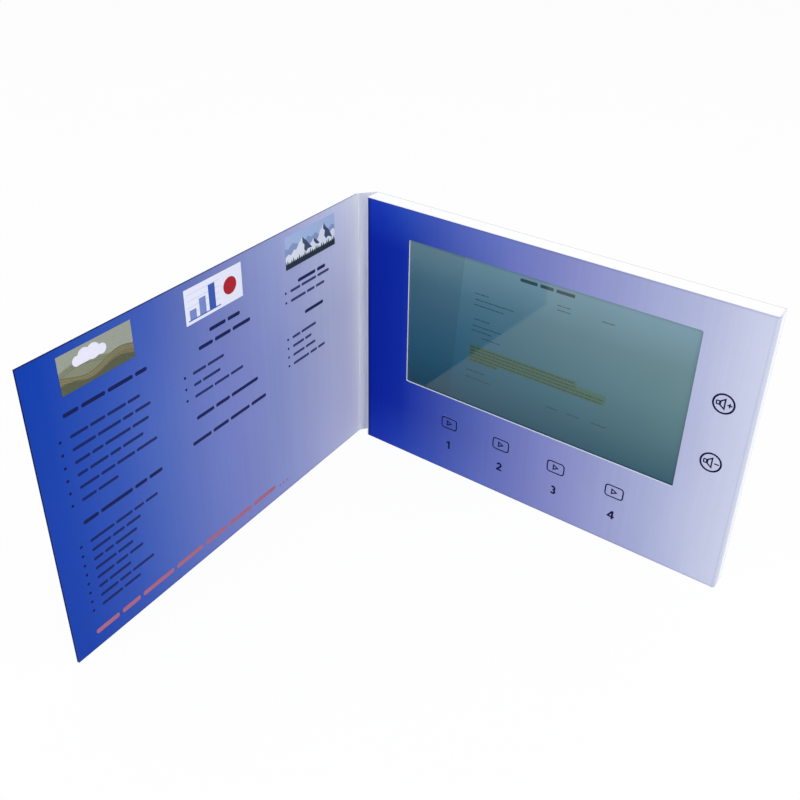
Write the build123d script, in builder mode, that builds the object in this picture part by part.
"""A seven-inch video brochure: a card case with a screen, six push pads and a folding cover.

The case stands on its long edge with the cover swung open like a book. Millimetres, +Z up.
The origin is the middle of the case's bottom face. The screen looks along -Y.
Places on the front are measured from the case's spine-side edge and from its bottom edge.
"""
import os
from math import cos, radians, sin

from build123d import *

# ---- case: the screen module with a margin of card on each side of it ------------------------
margin_spine = 21.5
margin_far = 23.6
margin_top = 9.4
margin_bottom = 38.6
case_thickness = 9.4
front_card = 0.8
back_card = 0.4
fold_radius = 1.4

# ---- spine and cover -------------------------------------------------------------------------
spine_card = 0.4
spine_gap = 0.2
crease_gap = 0.15
closed_air = 1.0
spine_swing = 37.2
cover_swing = 87.0
cover_outer_card = 0.3
cover_board_thickness = 0.5
cover_page_thickness = 0.2
cover_board_margin = 1.0
closing_magnet_diameter = 10.0
magnet_clearance = 0.1

# ---- window and screen module ----------------------------------------------------------------
screen_width = 164.9
screen_height = 100.0
screen_side_border = 5.4
screen_end_border = 7.9
picture_rise = 1.15
window_corner = 1.0
screen_frame_wall = 0.3
screen_frame_overlap = 0.7
screen_clearance = 0.1
panel_thickness = 1.4
backlight_thickness = 1.5
rear_plate_thickness = 0.3
panel_ledge = 4.0
panel_glass = 0.7
screen_pocket_clearance = 0.3
screen_rest = 5.0

# ---- ribbon from the screen to the main board ------------------------------------------------
ribbon_width = 26.0
ribbon_thickness = 0.2
ribbon_slot_clearance = 0.6
ribbon_drop = 0.6
ribbon_rise = 19.0

# ---- main board ------------------------------------------------------------------------------
board_thickness = 1.0
board_corner = 1.5
main_board_width = 78.0
main_board_height = 42.0
main_board_shift = 30.0
main_board_rise = 29.4
processor_side = 12.0
memory_width = 9.0
memory_height = 7.0
chip_thickness = 1.0
chip_chamfer = 0.2
connector_width = 30.0
connector_height = 5.0
connector_depth = 1.2
plug_width = 6.0
plug_height = 4.5
plug_depth = 2.0

# ---- battery ---------------------------------------------------------------------------------
battery_width = 58.0
battery_height = 68.0
battery_thickness = 3.0
battery_edge = 1.3
battery_seal_height = 3.0
battery_seal_thickness = 0.4

# ---- loudspeaker -----------------------------------------------------------------------------
speaker_from_spine = 24.0
speaker_from_bottom = 20.0
speaker_diameter = 30.0
speaker_rim = 2.0
speaker_rim_thickness = 0.6
speaker_wall = 0.4
speaker_magnet_diameter = 13.0
speaker_magnet_thickness = 1.6
speaker_depth = 3.0
speaker_pocket_clearance = 0.3
cone_thickness = 0.3
cone_cap_diameter = 8.0
cone_drop = 1.4
sound_hole = 2.0
sound_hole_pitch = 4.2
sound_hole_count = 6

# ---- push pads and their switches ------------------------------------------------------------
play_pad_count = 4
play_pad_pitch = 32.5
play_row_shift = 0.8
play_row_drop = 7.4
play_pad_width = 10.1
play_pad_height = 7.5
play_pad_corner = 1.6
volume_from_far_edge = 14.3
volume_pad_pitch = 31.7
volume_pads_drop = 5.1
volume_pad_diameter = 10.4
pad_seam = 0.15
recess_clearance = 0.3
press_travel = 0.4
press_spare = 0.1
switch_side = 5.2
switch_thickness = 1.5
stem_diameter = 2.6
stem_clearance = 0.25
stem_depth = 0.8
strip_board_margin = 4.5
strip_board_width = 9.0
strip_pocket_clearance = 0.4

# ---- charging socket -------------------------------------------------------------------------
socket_shift = 18.0
socket_width = 7.4
socket_height = 2.6
socket_length = 5.2
socket_corner = 0.7
socket_wall = 0.3
socket_recess = 0.4
socket_tongue_width = 3.8
socket_tongue_thickness = 0.6
socket_tongue_length = 3.8
socket_clearance = 0.4
socket_board_width = 14.0
socket_board_height = 11.0
socket_overhang = 1.2

# ---- reed switch under the closing magnet ----------------------------------------------------
reed_from_far_edge = 12.0
reed_from_top = 20.0
reed_diameter = 2.2
reed_length = 12.0
reed_clearance = 0.15

# ---- wire grooves in the core ----------------------------------------------------------------
groove_width = 6.0
groove_depth = 1.2

# ---- worked-out places -----------------------------------------------------------------------
case_width = margin_spine + screen_width + margin_far
case_height = margin_bottom + screen_height + margin_top
left = -case_width / 2
right = case_width / 2
front = -case_thickness / 2
back = case_thickness / 2
core_front = front + front_card
core_back = back - back_card
core_right = right - front_card

screen_x = left + margin_spine + screen_width / 2
screen_z = margin_bottom + screen_height / 2
screen_bottom = margin_bottom
window_z = screen_z + picture_rise
window_width = screen_width - 2 * screen_side_border
window_height = screen_height - 2 * screen_end_border
frame_depth = screen_frame_wall + panel_thickness + backlight_thickness + rear_plate_thickness
panel_y = core_front + screen_frame_wall
backlight_y = panel_y + panel_thickness
rear_plate_y = backlight_y + backlight_thickness
panel_width = screen_width - 2 * (screen_frame_wall + screen_clearance)
panel_height = screen_height - 2 * (screen_frame_wall + screen_clearance)
panel_bottom = screen_z - panel_height / 2

board_front = core_back - board_thickness
ribbon_back_y = board_front - connector_depth - ribbon_thickness / 2
ribbon_front_y = panel_y + panel_glass + (panel_thickness - panel_glass) / 2
ribbon_bend = (ribbon_back_y - ribbon_front_y) / 2
ribbon_bottom = screen_bottom - ribbon_drop
connector_z = screen_bottom + ribbon_rise - connector_height / 2
main_x = screen_x + main_board_shift
main_z = screen_bottom + main_board_rise
battery_room_left = screen_x - screen_width / 2 + screen_rest
battery_room_right = main_x - main_board_width / 2
battery_x = (battery_room_left + battery_room_right) / 2
speaker_x = left + speaker_from_spine
speaker_z = speaker_from_bottom

pad_back = front + front_card
switch_y = pad_back + press_travel + press_spare
strip_board_y = switch_y + switch_thickness
strip_pocket_depth = strip_board_y + board_thickness - core_front
stem_end = switch_y + stem_depth - press_travel
play_pad_z = screen_bottom - play_row_drop
play_strip_x = screen_x + play_row_shift
play_pad_xs = [
    play_strip_x + play_pad_pitch * (i - (play_pad_count - 1) / 2) for i in range(play_pad_count)
]
play_strip_length = play_pad_pitch * (play_pad_count - 1) + switch_side + 2 * strip_board_margin
volume_x = right - volume_from_far_edge
volume_strip_z = window_z - volume_pads_drop
volume_up_z = volume_strip_z + volume_pad_pitch / 2
volume_down_z = volume_strip_z - volume_pad_pitch / 2
volume_strip_length = volume_pad_pitch + switch_side + 2 * strip_board_margin

socket_x = main_x + socket_shift
socket_y = board_front - socket_height / 2
socket_board_z = socket_recess + socket_overhang + socket_board_height / 2

spine_length = case_thickness - back_card + closed_air
spine_pivot = Vector(left - spine_card - spine_gap, core_back, 0)
spine_direction = 270 - spine_swing
cover_direction = 360 - cover_swing
spine_plane = Plane(
    origin=spine_pivot,
    x_dir=(cos(radians(spine_direction)), sin(radians(spine_direction)), 0),
    z_dir=(0, 0, 1),
)
crease = spine_plane.from_local_coords(Vector(spine_length, 0, 0))
cover_plane = Plane(
    origin=crease,
    x_dir=(cos(radians(cover_direction)), sin(radians(cover_direction)), 0),
    z_dir=(0, 0, 1),
)
cover_start = spine_card + crease_gap
cover_thickness = cover_page_thickness + cover_board_thickness + cover_outer_card
cover_width = case_width
reed_x = right - reed_from_far_edge
reed_z = case_height - reed_from_top
reed_from_crease = reed_x - spine_pivot.X


def seen_from_front(y):
    """The upright drawing plane at depth y: drawn +X to the right, +Z up, and extruded to -Y."""
    return Plane.XZ.offset(-y)


def save(piece, name):
    """Label a finished piece and write its STEP file."""
    piece.part.label = name
    export_step(piece.part, f"parts/{name}.step")


os.makedirs("parts", exist_ok=True)

# ==== front card: one sheet that folds round the far edge and becomes the side wall ====
with BuildPart() as front_sheet:
    with BuildSketch(Plane.XY):
        with BuildLine():
            Line((left, front), (right - fold_radius, front))
            CenterArc((right - fold_radius, front + fold_radius), fold_radius, -90, 90)
            Line((right, front + fold_radius), (right, core_back))
            Line((right, core_back), (core_right, core_back))
            Line((core_right, core_back), (core_right, front + fold_radius))
            CenterArc((right - fold_radius, front + fold_radius), fold_radius - front_card, 0, -90)
            Line((right - fold_radius, core_front), (left, core_front))
            Line((left, core_front), (left, front))
        make_face()
    extrude(amount=case_height)
    with BuildSketch(seen_from_front(front)):
        with Locations((screen_x, window_z)):
            RectangleRounded(window_width, window_height, window_corner)
        with Locations([(x, play_pad_z) for x in play_pad_xs]):
            RectangleRounded(
                play_pad_width + 2 * pad_seam, play_pad_height + 2 * pad_seam, play_pad_corner + pad_seam
            )
        with Locations((volume_x, volume_up_z), (volume_x, volume_down_z)):
            Circle(volume_pad_diameter / 2 + pad_seam)
    extrude(amount=-front_card, mode=Mode.SUBTRACT)
save(front_sheet, "front_sheet")

# ==== core: the white board frame that holds everything, cut with stepped pockets ====
with BuildPart() as core_frame:
    with BuildSketch(Plane.XY):
        with BuildLine():
            Line((left, core_front), (right - fold_radius, core_front))
            CenterArc((right - fold_radius, front + fold_radius), fold_radius - front_card, -90, 90)
            Line((core_right, front + fold_radius), (core_right, core_back))
            Line((core_right, core_back), (left, core_back))
            Line((left, core_back), (left, core_front))
        make_face()
    extrude(amount=case_height)
    with BuildSketch(seen_from_front(core_front)):
        with Locations((screen_x, screen_z)):
            Rectangle(
                screen_width + 2 * screen_pocket_clearance, screen_height + 2 * screen_pocket_clearance
            )
    extrude(amount=-frame_depth, mode=Mode.SUBTRACT)
    with BuildSketch(seen_from_front(core_front)):
        with Locations((screen_x, screen_z)):
            Rectangle(screen_width - 2 * screen_rest, screen_height - 2 * screen_rest)
        with Locations((main_x, screen_bottom)):
            Rectangle(
                ribbon_width + 2 * ribbon_slot_clearance,
                2 * (ribbon_drop + ribbon_bend + ribbon_thickness + ribbon_slot_clearance) + 2 * screen_rest,
            )
    extrude(amount=-(core_back - core_front), mode=Mode.SUBTRACT)
    with BuildSketch(seen_from_front(core_front)):
        with Locations((play_strip_x, play_pad_z)):
            Rectangle(
                play_strip_length + 2 * strip_pocket_clearance,
                strip_board_width + 2 * strip_pocket_clearance,
            )
        with Locations((volume_x, volume_strip_z)):
            Rectangle(
                strip_board_width + 2 * strip_pocket_clearance,
                volume_strip_length + 2 * strip_pocket_clearance,
            )
    extrude(amount=-strip_pocket_depth, mode=Mode.SUBTRACT)
    with BuildSketch(seen_from_front(core_front)):
        with Locations([(x, play_pad_z) for x in play_pad_xs]):
            Rectangle(play_pad_width + 2 * recess_clearance, play_pad_height + 2 * recess_clearance)
        with Locations((volume_x, volume_up_z), (volume_x, volume_down_z)):
            Circle(volume_pad_diameter / 2 + recess_clearance)
    extrude(amount=-(press_travel + press_spare), mode=Mode.SUBTRACT)
    with BuildSketch(seen_from_front(core_front)):
        with Locations((reed_x, reed_z)):
            Rectangle(reed_diameter + 2 * reed_clearance, reed_length + 2 * reed_clearance)
    extrude(amount=-reed_diameter, mode=Mode.SUBTRACT)
    with BuildSketch(seen_from_front(core_back)):
        with Locations((speaker_x, speaker_z)):
            Circle(speaker_diameter / 2 + speaker_pocket_clearance)
    extrude(amount=speaker_depth + speaker_magnet_thickness, mode=Mode.SUBTRACT)
    with BuildSketch(seen_from_front(core_back)):
        with Locations((socket_x, socket_board_z)):
            Rectangle(
                socket_board_width + 2 * socket_clearance, socket_board_height + 2 * socket_clearance
            )
    extrude(amount=board_thickness + socket_height + socket_clearance, mode=Mode.SUBTRACT)
    with BuildSketch(Plane.XY):
        with Locations((socket_x, socket_y)):
            Rectangle(socket_width + 2 * socket_clearance, socket_height + 2 * socket_clearance)
    extrude(amount=socket_board_z, mode=Mode.SUBTRACT)
    with BuildSketch(seen_from_front(core_back)):
        with Locations((socket_x, (socket_board_z + screen_bottom) / 2 + screen_rest)):
            Rectangle(groove_width, screen_bottom - socket_board_z + screen_rest)
        with Locations((speaker_x, (speaker_z + screen_bottom) / 2 + screen_rest)):
            Rectangle(groove_width, screen_bottom - speaker_z + screen_rest)
        with Locations((volume_x - strip_board_width, volume_strip_z)):
            Rectangle(2 * strip_board_width, groove_width)
        with Locations((reed_x - groove_width, reed_z)):
            Rectangle(3 * groove_width, groove_width)
    extrude(amount=groove_depth, mode=Mode.SUBTRACT)
save(core_frame, "core_frame")

# ==== back card with the loudspeaker's sound holes ====
with BuildPart() as back_sheet:
    with BuildSketch(seen_from_front(back)):
        with Locations((0, case_height / 2)):
            Rectangle(case_width, case_height)
        with Locations((speaker_x, speaker_z)):
            Circle(sound_hole / 2, mode=Mode.SUBTRACT)
            with PolarLocations(sound_hole_pitch, sound_hole_count):
                Circle(sound_hole / 2, mode=Mode.SUBTRACT)
    extrude(amount=back_card)
save(back_sheet, "back_sheet")

# ==== screen module: pressed frame, stepped glass, backlight, rear plate ====
with BuildPart() as screen_frame:
    with BuildSketch(seen_from_front(core_front)):
        with Locations((screen_x, screen_z)):
            Rectangle(screen_width, screen_height)
    extrude(amount=-frame_depth)
    with BuildSketch(seen_from_front(panel_y)):
        with Locations((screen_x, screen_z)):
            Rectangle(screen_width - 2 * screen_frame_wall, screen_height - 2 * screen_frame_wall)
    extrude(amount=-(frame_depth - screen_frame_wall), mode=Mode.SUBTRACT)
    with BuildSketch(seen_from_front(core_front)):
        with Locations((screen_x, window_z)):
            Rectangle(window_width + 2 * screen_frame_overlap, window_height + 2 * screen_frame_overlap)
    extrude(amount=-screen_frame_wall, mode=Mode.SUBTRACT)
    with BuildSketch(seen_from_front(panel_y)):
        with Locations((main_x, screen_bottom)):
            Rectangle(ribbon_width + 2 * ribbon_slot_clearance, 2 * screen_frame_wall)
    extrude(amount=-(frame_depth - screen_frame_wall), mode=Mode.SUBTRACT)
save(screen_frame, "screen_frame")

with BuildPart() as screen_glass:
    with BuildSketch(seen_from_front(panel_y)):
        with Locations((screen_x, screen_z + panel_ledge / 2)):
            Rectangle(panel_width, panel_height - panel_ledge)
    extrude(amount=-panel_glass)
save(screen_glass, "screen_glass")

with BuildPart() as screen_array_glass:
    with BuildSketch(seen_from_front(panel_y + panel_glass)):
        with Locations((screen_x, screen_z)):
            Rectangle(panel_width, panel_height)
    extrude(amount=-(panel_thickness - panel_glass))
save(screen_array_glass, "screen_array_glass")

with BuildPart() as backlight:
    with BuildSketch(seen_from_front(backlight_y)):
        with Locations((screen_x, screen_z)):
            Rectangle(panel_width, panel_height)
    extrude(amount=-backlight_thickness)
save(backlight, "backlight")

with BuildPart() as rear_plate:
    with BuildSketch(seen_from_front(rear_plate_y)):
        with Locations((screen_x, screen_z)):
            Rectangle(panel_width, panel_height)
    extrude(amount=-rear_plate_thickness)
save(rear_plate, "rear_plate")

# ==== ribbon: leaves the glass edge, turns under the module and rises to its connector ====
with BuildPart() as ribbon:
    with BuildSketch(Plane.YZ.offset(main_x - ribbon_width / 2)):
        with BuildLine() as ribbon_path:
            Line((ribbon_front_y, panel_bottom), (ribbon_front_y, ribbon_bottom))
            CenterArc((ribbon_front_y + ribbon_bend, ribbon_bottom), ribbon_bend, 180, 180)
            Line((ribbon_back_y, ribbon_bottom), (ribbon_back_y, screen_bottom + ribbon_rise))
        trace(line_width=ribbon_thickness)
    extrude(amount=ribbon_width)
save(ribbon, "ribbon")

# ==== main board with its parts on the side that faces the screen ====
with BuildPart() as main_board:
    with BuildSketch(seen_from_front(board_front)):
        with Locations((main_x, main_z)):
            RectangleRounded(main_board_width, main_board_height, board_corner)
    extrude(amount=-board_thickness)
save(main_board, "main_board")

with BuildPart() as processor_chip:
    with BuildSketch(seen_from_front(board_front)):
        with Locations((main_x - processor_side, main_z)):
            Rectangle(processor_side, processor_side)
    extrude(amount=chip_thickness)
    chamfer(processor_chip.faces().sort_by(Axis.Y)[0].edges(), chip_chamfer)
save(processor_chip, "processor_chip")

with BuildPart() as memory_chip:
    with BuildSketch(seen_from_front(board_front)):
        with Locations((main_x + processor_side, main_z)):
            Rectangle(memory_width, memory_height)
    extrude(amount=chip_thickness)
    chamfer(memory_chip.faces().sort_by(Axis.Y)[0].edges(), chip_chamfer)
save(memory_chip, "memory_chip")

with BuildPart() as ribbon_connector:
    with BuildSketch(seen_from_front(board_front)):
        with Locations((main_x, connector_z)):
            Rectangle(connector_width, connector_height)
    extrude(amount=connector_depth)
save(ribbon_connector, "ribbon_connector")

with BuildPart() as battery_connector:
    with BuildSketch(seen_from_front(board_front)):
        with Locations(
            (main_x - main_board_width / 2 + plug_width / 2, main_z + processor_side)
        ):
            Rectangle(plug_width, plug_height)
    extrude(amount=plug_depth)
save(battery_connector, "battery_connector")

# ==== battery: a soft-edged pouch with a flat seal along its top ====
with BuildPart() as battery:
    with BuildSketch(seen_from_front(core_back)):
        with Locations((battery_x, screen_z)):
            Rectangle(battery_width, battery_height)
    extrude(amount=battery_thickness)
    fillet(battery.edges().filter_by(Axis.Z), battery_edge)
    with BuildSketch(seen_from_front(core_back - battery_thickness / 2)):
        with Locations((battery_x, screen_z + (battery_height + battery_seal_height) / 2)):
            Rectangle(battery_width - 2 * battery_edge, battery_seal_height)
    extrude(amount=battery_seal_thickness)
save(battery, "battery")

# ==== loudspeaker, turned about an axis along Y, its cone facing the sound holes ====
speaker_axis = Axis((speaker_x, 0, speaker_z), (0, 1, 0))
speaker_base_y = core_back - speaker_depth
speaker_plane = Plane(origin=(speaker_x, 0, speaker_z), z_dir=(0, 0, 1))
rim_radius = speaker_diameter / 2
rim_inner = rim_radius - speaker_rim
cap_radius = cone_cap_diameter / 2
rim_y = core_back - speaker_rim_thickness
with BuildPart() as speaker_basket:
    with BuildSketch(speaker_plane):
        Polygon(
            (0, speaker_base_y),
            (rim_inner + speaker_wall, speaker_base_y),
            (rim_inner + speaker_wall, rim_y),
            (rim_radius, rim_y),
            (rim_radius, core_back),
            (rim_inner, core_back),
            (rim_inner, speaker_base_y + speaker_wall),
            (0, speaker_base_y + speaker_wall),
            align=None,
        )
    revolve(axis=speaker_axis)
save(speaker_basket, "speaker_basket")

with BuildPart() as speaker_cone:
    with BuildSketch(speaker_plane):
        Polygon(
            (0, rim_y - cone_drop),
            (cap_radius, rim_y - cone_drop),
            (rim_inner, rim_y),
            (rim_inner, rim_y + cone_thickness),
            (cap_radius, rim_y - cone_drop + cone_thickness),
            (0, rim_y - cone_drop + cone_thickness),
            align=None,
        )
    revolve(axis=speaker_axis)
save(speaker_cone, "speaker_cone")

with BuildPart() as speaker_magnet:
    with BuildSketch(seen_from_front(speaker_base_y)):
        with Locations((speaker_x, speaker_z)):
            Circle(speaker_magnet_diameter / 2)
    extrude(amount=speaker_magnet_thickness)
    chamfer(speaker_magnet.faces().sort_by(Axis.Y)[0].edges(), chip_chamfer)
save(speaker_magnet, "speaker_magnet")

# ==== two switch boards ====
with BuildPart() as play_board:
    with BuildSketch(seen_from_front(strip_board_y)):
        with Locations((play_strip_x, play_pad_z)):
            RectangleRounded(play_strip_length, strip_board_width, board_corner)
    extrude(amount=-board_thickness)
save(play_board, "play_board")

with BuildPart() as volume_board:
    with BuildSketch(seen_from_front(strip_board_y)):
        with Locations((volume_x, volume_strip_z)):
            RectangleRounded(strip_board_width, volume_strip_length, board_corner)
    extrude(amount=-board_thickness)
save(volume_board, "volume_board")


# ==== six push pads, each with a stem and a switch ====
def push_switch(x, z, name):
    """The fixed housing on the board and the stem that rides in its bore."""
    with BuildPart() as housing:
        with BuildSketch(seen_from_front(switch_y)):
            with Locations((x, z)):
                Rectangle(switch_side, switch_side)
        extrude(amount=-switch_thickness)
        with BuildSketch(seen_from_front(switch_y)):
            with Locations((x, z)):
                Circle(stem_diameter / 2 + stem_clearance)
        extrude(amount=-(stem_depth + press_spare), mode=Mode.SUBTRACT)
    save(housing, f"{name}_switch")
    with BuildPart() as stem:
        with BuildSketch(seen_from_front(pad_back)):
            with Locations((x, z)):
                Circle(stem_diameter / 2)
        extrude(amount=-(stem_end - pad_back))
    save(stem, f"{name}_stem")


for number, x in enumerate(play_pad_xs, start=1):
    with BuildPart() as play_pad:
        with BuildSketch(seen_from_front(front)):
            with Locations((x, play_pad_z)):
                RectangleRounded(play_pad_width, play_pad_height, play_pad_corner)
        extrude(amount=-front_card)
    save(play_pad, f"play_{number}_pad")
    push_switch(x, play_pad_z, f"play_{number}")

for name, z in (("volume_up", volume_up_z), ("volume_down", volume_down_z)):
    with BuildPart() as volume_pad:
        with BuildSketch(seen_from_front(front)):
            with Locations((volume_x, z)):
                Circle(volume_pad_diameter / 2)
        extrude(amount=-front_card)
    save(volume_pad, f"{name}_pad")
    push_switch(volume_x, z, name)

# ==== charging socket in the bottom edge ====
with BuildPart() as socket_board:
    with BuildSketch(seen_from_front(board_front)):
        with Locations((socket_x, socket_board_z)):
            Rectangle(socket_board_width, socket_board_height)
    extrude(amount=-board_thickness)
save(socket_board, "socket_board")

with BuildPart() as socket_shell:
    with BuildSketch(Plane.XY.offset(socket_recess)):
        with Locations((socket_x, socket_y)):
            RectangleRounded(socket_width, socket_height, socket_corner)
    extrude(amount=socket_length)
    with BuildSketch(Plane.XY.offset(socket_recess)):
        with Locations((socket_x, socket_y)):
            RectangleRounded(
                socket_width - 2 * socket_wall, socket_height - 2 * socket_wall, socket_corner - socket_wall
            )
    extrude(amount=socket_length - socket_wall, mode=Mode.SUBTRACT)
save(socket_shell, "socket_shell")

with BuildPart() as socket_tongue:
    with BuildSketch(Plane.XY.offset(socket_recess + socket_length - socket_wall)):
        with Locations((socket_x, socket_y)):
            Rectangle(socket_tongue_width, socket_tongue_thickness)
    extrude(amount=-socket_tongue_length)
save(socket_tongue, "socket_tongue")

# ==== reed switch: a glass capsule with tapered ends, laid upright in its pocket ====
with BuildPart() as reed_switch:
    with BuildSketch(Plane.XY.offset(reed_z - reed_length / 2)):
        with Locations((reed_x, core_front + reed_diameter / 2)):
            Circle(reed_diameter / 2)
    extrude(amount=reed_length)
    chamfer(reed_switch.edges().filter_by(GeomType.CIRCLE), reed_diameter / 4)
save(reed_switch, "reed_switch")

# ==== spine strip with a round bead at each fold ====
with BuildPart() as spine_strip:
    with BuildSketch(spine_plane):
        with Locations((spine_length / 2, -spine_card / 2)):
            Rectangle(spine_length, spine_card)
        with Locations((0, 0), (spine_length, 0)):
            Circle(spine_card)
    extrude(amount=case_height)
save(spine_strip, "spine_strip")


# ==== cover: page, board and outer card, with the closing magnet sealed in the board ====
def cover_layer(inner_y, thickness, margin):
    """One layer of the cover, drawn in plan inner_y below the page's face and raised."""
    with BuildPart() as layer:
        with BuildSketch(cover_plane.offset(margin)):
            with Locations(((cover_start + cover_width) / 2, -inner_y - thickness / 2)):
                Rectangle(cover_width - cover_start - 2 * margin, thickness)
        extrude(amount=case_height - 2 * margin)
    return layer


magnet_plane = Plane(
    origin=cover_plane.from_local_coords(Vector(reed_from_crease, -cover_page_thickness, reed_z)),
    x_dir=cover_plane.x_dir,
    z_dir=cover_plane.y_dir,
)

cover_inner_page = cover_layer(0, cover_page_thickness, 0)
save(cover_inner_page, "cover_inner_page")

cover_outer_sheet = cover_layer(cover_page_thickness + cover_board_thickness, cover_outer_card, 0)
save(cover_outer_sheet, "cover_outer_sheet")

with BuildPart() as cover_board:
    add(cover_layer(cover_page_thickness, cover_board_thickness, cover_board_margin).part)
    with BuildSketch(magnet_plane):
        Circle(closing_magnet_diameter / 2 + magnet_clearance)
    extrude(amount=-cover_board_thickness, mode=Mode.SUBTRACT)
save(cover_board, "cover_board")

with BuildPart() as closing_magnet:
    with BuildSketch(magnet_plane):
        Circle(closing_magnet_diameter / 2)
    extrude(amount=-cover_board_thickness)
save(closing_magnet, "closing_magnet")

print(f"spine fold at x {spine_pivot.X:.3f} y {spine_pivot.Y:.3f}")
print(f"cover crease at x {crease.X:.3f} y {crease.Y:.3f}")
print(f"closed cover's page lies {closed_air:.2f} mm in front of the case, cover {cover_thickness:.2f} mm")
